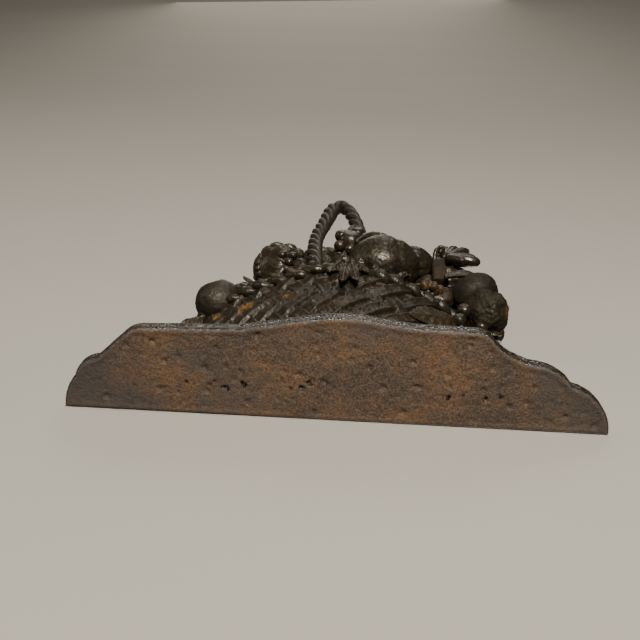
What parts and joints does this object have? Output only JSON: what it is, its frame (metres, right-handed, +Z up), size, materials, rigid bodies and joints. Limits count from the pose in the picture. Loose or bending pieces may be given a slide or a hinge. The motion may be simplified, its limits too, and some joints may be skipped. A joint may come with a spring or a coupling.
{
  "type": "door stop",
  "caption": "Heavy cast-iron door stop shaped as a wide woven basket of fruit with a twisted carrying handle, standing on a flat scrolled plinth.",
  "frame": {"origin": "on the surface the door stop stands on, under the middle of its plinth and at the middle of its depth", "axes": "+Z up, +X to the right of a person facing the stop, front towards -Y, flat back towards +Y"},
  "size_m": [0.3, 0.062, 0.2385],
  "materials": {
    "plinth_iron": "rust-brown, matt and granular below, dark and waxed round its edge",
    "basket_iron": "dark brown-black patina with wax sheen and ochre rust",
    "fruit_iron": "dark brown-black patina, semi-gloss",
    "leaf_iron": "dark olive-brown patina, satin",
    "handle_iron": "dark grey-olive patina, satin",
    "raw_back": "unpolished casting, matt",
    "rusted_iron": "orange-brown rust, matt"
  },
  "bodies": {
    "root": {"base_plinth": "plinth_iron", "basket_shell": "basket_iron", "rim_braid": "basket_iron", "fruit_backing": "raw_back", "handle_rope": "handle_iron", "melon": "fruit_iron", "apple_left": "fruit_iron", "peach_left": "fruit_iron", "peach_right": "fruit_iron", "quince_right": "fruit_iron", "pear_centre": "fruit_iron", "gourd": "fruit_iron", "pear_upper_left": "fruit_iron", "apple_upper_right": "fruit_iron", "apple_top": "fruit_iron", "plum_left": "fruit_iron", "grape_cluster": "fruit_iron", "grape_stalk": "fruit_iron", "berry_bunch_right": "fruit_iron", "stem_stub": "leaf_iron", "vine_knot_right": "leaf_iron", "vine_leaf_rim_right": "leaf_iron", "blossom": "rusted_iron", "berries_lower_right": "fruit_iron", "berries_left": "fruit_iron", "tendril": "leaf_iron", "crown_leaf_left": "leaf_iron", "ruffled_leaf": "leaf_iron", "leaf_far_left": "leaf_iron", "leaf_rim_centre": "leaf_iron", "leaf_flank_right": "leaf_iron", "leaf_lower_right": "leaf_iron", "leaf_upper_left": "leaf_iron", "leaf_upper_right": "leaf_iron", "leaf_top": "leaf_iron", "leaf_peach_right": "leaf_iron"}
  },
  "joints": []
}
